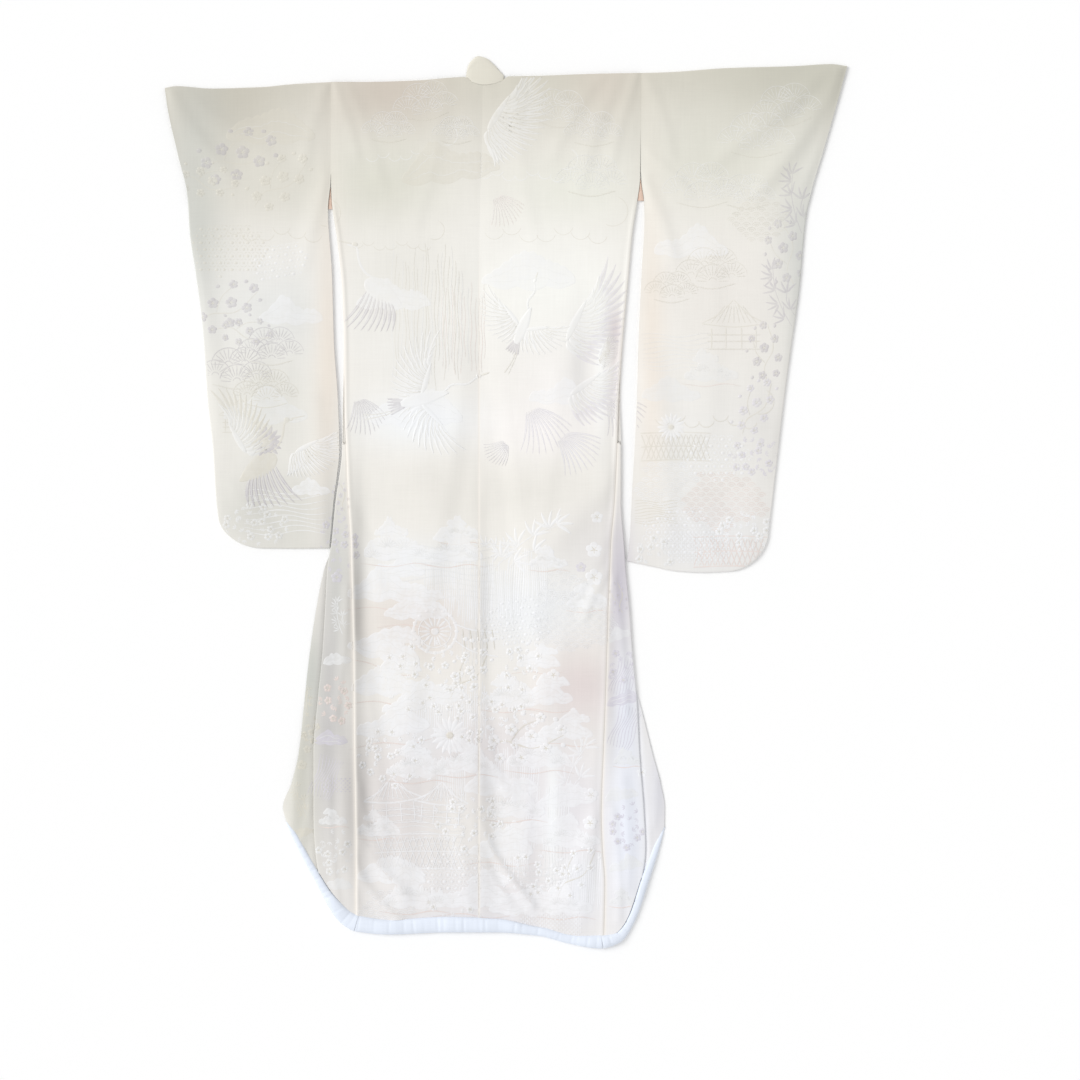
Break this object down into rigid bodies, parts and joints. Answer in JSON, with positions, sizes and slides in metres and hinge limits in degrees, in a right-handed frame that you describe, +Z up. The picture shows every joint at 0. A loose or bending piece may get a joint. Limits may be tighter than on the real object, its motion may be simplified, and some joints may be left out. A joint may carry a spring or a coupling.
{
  "type": "uchikake wedding kimono",
  "caption": "Full-length white figured-silk wedding over-kimono with long swinging sleeves and a padded pale blue hem, laid flat with its back upward.",
  "frame": {"origin": "the middle of the garment's outline, on the surface that it lies on", "axes": "+Y towards the collar, +Z up off the surface, +X towards the wearer's right, which is the right-hand side seen from above because the back is upward"},
  "size_m": [1.364, 1.7833, 0.0186],
  "materials": {
    "figured_silk": "ivory satin figured in white, silver and pale pink",
    "collar_silk": "plain cream satin",
    "hem_silk": "soft blue-white plain silk over wadding",
    "lining_silk": "plain peach silk"
  },
  "bodies": {
    "root": {"back_left": "figured_silk", "back_right": "figured_silk", "front_left": "figured_silk", "front_right": "figured_silk", "okumi_left": "figured_silk", "okumi_right": "figured_silk", "sleeve_left": "figured_silk", "sleeve_right": "figured_silk", "collar": "collar_silk", "collar_left": "collar_silk", "collar_right": "collar_silk", "hem_left": "hem_silk", "hem_back": "hem_silk", "hem_right": "hem_silk", "lining_left": "lining_silk", "lining_right": "lining_silk"}
  },
  "joints": []
}
